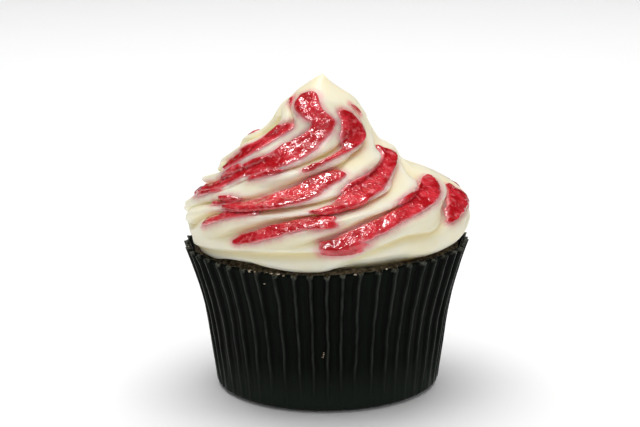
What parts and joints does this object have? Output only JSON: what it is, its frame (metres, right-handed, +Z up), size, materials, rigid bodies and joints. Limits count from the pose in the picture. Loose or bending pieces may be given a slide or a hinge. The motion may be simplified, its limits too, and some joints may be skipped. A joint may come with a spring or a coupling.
{
  "type": "cupcake",
  "caption": "Chocolate cupcake in a dark fluted paper case, topped with a tall piped swirl of cream and streaks of raspberry sauce.",
  "frame": {"origin": "centre of the underside of the case, on the surface that the cupcake stands on", "axes": "+Z up towards the tip of the swirl, -Y towards the front of the swirl, +X to its right seen from the front"},
  "size_m": [0.07, 0.0702, 0.076],
  "materials": {
    "case_paper": "satin, nearly black greaseproof paper with a faint grey bloom on its folds",
    "chocolate_sponge": "matte, open dark brown crumb",
    "buttercream": "smooth satin ivory cream",
    "raspberry_sauce": "wet gloss, deep pinkish red"
  },
  "bodies": {
    "root": {"paper_case": "case_paper", "cake": "chocolate_sponge", "frosting": "buttercream"}
  },
  "joints": []
}
